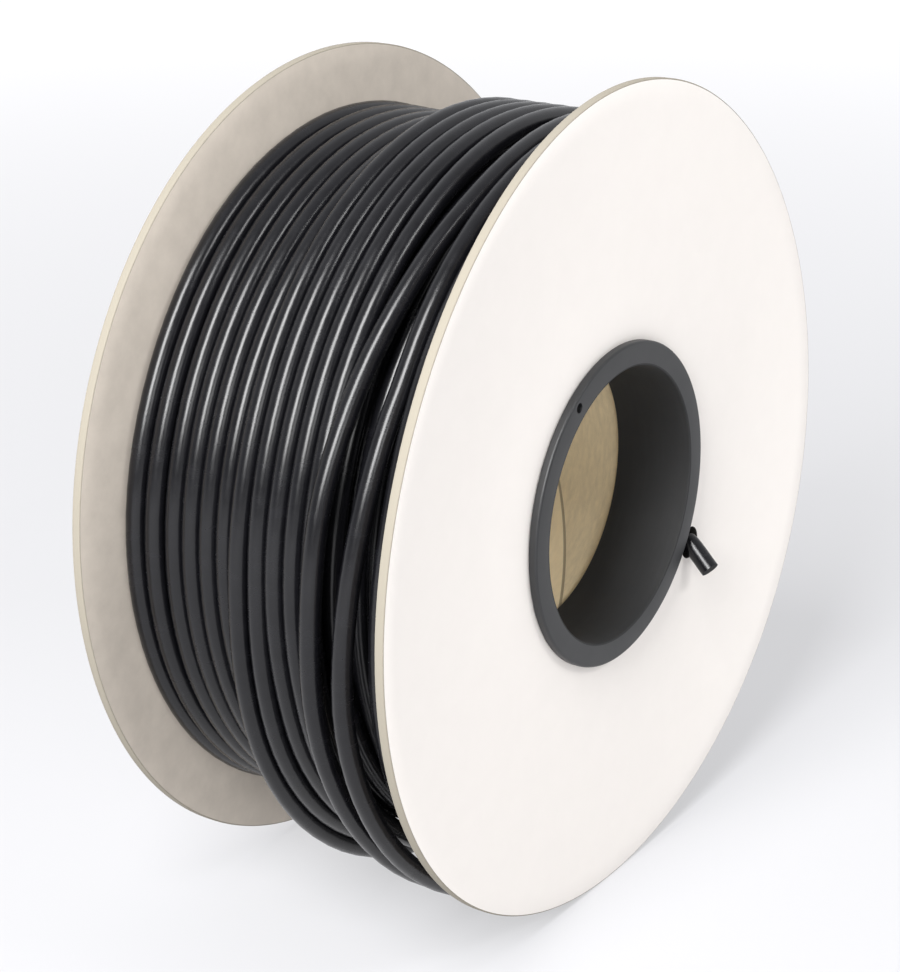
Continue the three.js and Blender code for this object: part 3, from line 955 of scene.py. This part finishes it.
CAMERA_AZIMUTH = -57.135
CAMERA_ELEVATION = 20.626
CAMERA_DISTANCE = 845.379
CAMERA_FOCAL_PIXELS = 2378.9
SENSOR_WIDTH = 36.0
FRAME_WIDTH = 900
FRAME_HEIGHT = 972
FRAME_SHIFT_RIGHT = 23.66
FRAME_SHIFT_UP = 14.83
AIR_FRONT = 0.13
AIR_BEHIND = 0.85
FLOOR_GLOW_NEAR = 0.5
FLOOR_GLOW_FAR = 1.05


def add_camera():
    """The camera looks at the middle of the reel, with the small shift of the photograph's framing."""
    data = bpy.data.cameras.new("camera")
    camera = bpy.data.objects.new("camera", data)
    bpy.context.scene.collection.objects.link(camera)
    azimuth = math.radians(CAMERA_AZIMUTH)
    elevation = math.radians(CAMERA_ELEVATION)
    level = math.cos(elevation)
    back = Vector((math.sin(azimuth) * level, -math.cos(azimuth) * level, math.sin(elevation)))
    camera.location = (AXIS + back * CAMERA_DISTANCE) * MM
    camera.rotation_euler = back.to_track_quat("Z", "Y").to_euler()
    longest = max(FRAME_WIDTH, FRAME_HEIGHT)
    data.sensor_width = SENSOR_WIDTH
    data.sensor_fit = "AUTO"
    data.lens = CAMERA_FOCAL_PIXELS / longest * data.sensor_width
    data.shift_x = -FRAME_SHIFT_RIGHT / longest
    data.shift_y = -FRAME_SHIFT_UP / longest
    data.clip_start = 0.01
    data.clip_end = 30
    bpy.context.scene.camera = camera


def add_light(name, direction, distance, size, power, colour=(1.0, 1.0, 1.0)):
    """A rectangular soft light aimed at the reel from a direction; distance and size in metres."""
    target = AXIS * MM
    place = target + Vector(direction).normalized() * distance
    data = bpy.data.lights.new(name, "AREA")
    data.shape = "RECTANGLE"
    data.size, data.size_y = size
    data.energy = power
    data.color = colour
    light = bpy.data.objects.new(name, data)
    light.location = place
    light.rotation_euler = (place - target).to_track_quat("Z", "Y").to_euler()
    bpy.context.scene.collection.objects.link(light)


def add_floor():
    """A pale matte floor that glows by its own emission, a painted light that grows brighter towards its
    far edges and lightens the shadows on it.
    """
    material, tree = new_material("pale_glowing_studio_paper")
    place = add_node(tree, "ShaderNodeTexCoord").outputs["Object"]
    distance = add_node(tree, "ShaderNodeVectorMath", {0: place}, operation="LENGTH").outputs["Value"]
    # The glow is painted light: the floor's own emission, which lightens the shadows under the reel
    glow = add_node(tree, "ShaderNodeMapRange", {
        "Value": distance, "From Min": 0.4, "From Max": 2.4, "To Min": FLOOR_GLOW_NEAR,
        "To Max": FLOOR_GLOW_FAR}).outputs["Result"]
    shader = add_node(tree, "ShaderNodeBsdfPrincipled", {
        "Base Color": linear("88888a"), "Roughness": 0.9, "Specular IOR Level": 0.1,
        "Emission Color": linear("fbfbfd"), "Emission Strength": glow})
    add_node(tree, "ShaderNodeOutputMaterial", {"Surface": shader.outputs["BSDF"]})
    shape = bmesh.new()
    bmesh.ops.create_grid(shape, x_segments=1, y_segments=1, size=6.0)
    mesh = bpy.data.meshes.new("studio_floor")
    shape.to_mesh(mesh)
    shape.free()
    mesh.materials.append(material)
    floor = bpy.data.objects.new("studio_floor", mesh)
    bpy.context.scene.collection.objects.link(floor)


def add_world():
    """Even white air that is brighter behind the reel than on the camera's side."""
    world = bpy.data.worlds.new("studio_air")
    world.use_nodes = True
    tree = world.node_tree
    background = tree.nodes["Background"]
    azimuth = math.radians(CAMERA_AZIMUTH)
    away = (-math.sin(azimuth), math.cos(azimuth), 0.0)
    place = add_node(tree, "ShaderNodeTexCoord").outputs["Generated"]
    behind = add_node(tree, "ShaderNodeVectorMath", {0: place, 1: away}, operation="DOT_PRODUCT")
    strength = add_node(tree, "ShaderNodeMapRange", {
        "Value": behind.outputs["Value"], "From Min": -0.6, "From Max": 0.6, "To Min": AIR_FRONT,
        "To Max": AIR_BEHIND})
    background.inputs["Color"].default_value = linear("fbfcff")
    tree.links.new(strength.outputs["Result"], background.inputs["Strength"])
    bpy.context.scene.world = world


class CABLECOIL_OT_stage(bpy.types.Operator):
    """Set up the floor, the light and the camera"""
    bl_idname = "cable_coil.stage"
    bl_label = "Stage"

    def execute(self, context):
        context.scene.view_settings.view_transform = "Standard"
        add_camera()
        add_floor()
        add_world()
        add_light("side_softbox", (-0.76, -0.10, 0.64), 1.7, (0.66, 1.4), 66.0)
        add_light("front_softbox", (0.08, -0.76, 0.66), 2.2, (0.7, 0.4), 11.0)
        add_light("camera_fill", (-0.66, -0.66, 0.36), 2.2, (0.7, 0.6), 7.5)
        return {"FINISHED"}


# Panel and registration

STEPS = (
    CABLECOIL_OT_stage,
    CABLECOIL_OT_flanges,
    CABLECOIL_OT_core_tube,
    CABLECOIL_OT_collars,
    CABLECOIL_OT_cable,
)


class CABLECOIL_PT_sidebar(bpy.types.Panel):
    """Sidebar panel with the coil's steps and sizes"""
    bl_label = "Cable Coil"
    bl_space_type = "VIEW_3D"
    bl_region_type = "UI"
    bl_category = "Cable Coil"

    def draw(self, context):
        for step in STEPS:
            self.layout.operator(step.bl_idname)
        for group in (context.scene.reel_sizes, context.scene.cable_sizes, context.scene.reel_colours):
            box = self.layout.box()
            for name in type(group).__annotations__:
                box.prop(group, name)


GROUPS = (
    (ReelSizes, "reel_sizes"),
    (CableSizes, "cable_sizes"),
    (ReelColours, "reel_colours"),
)
CLASSES = tuple(group for group, name in GROUPS) + STEPS + (CABLECOIL_PT_sidebar,)


def register():
    for item in CLASSES:
        bpy.utils.register_class(item)
    for group, name in GROUPS:
        setattr(bpy.types.Scene, name, bpy.props.PointerProperty(type=group))


def unregister():
    for group, name in GROUPS:
        delattr(bpy.types.Scene, name)
    for item in reversed(CLASSES):
        bpy.utils.unregister_class(item)


def main():
    register()
    bpy.ops.cable_coil.stage()
    bpy.ops.cable_coil.flanges()
    bpy.ops.cable_coil.core_tube()
    bpy.ops.cable_coil.collars()
    bpy.ops.cable_coil.cable()


if __name__ == "__main__":
    main()
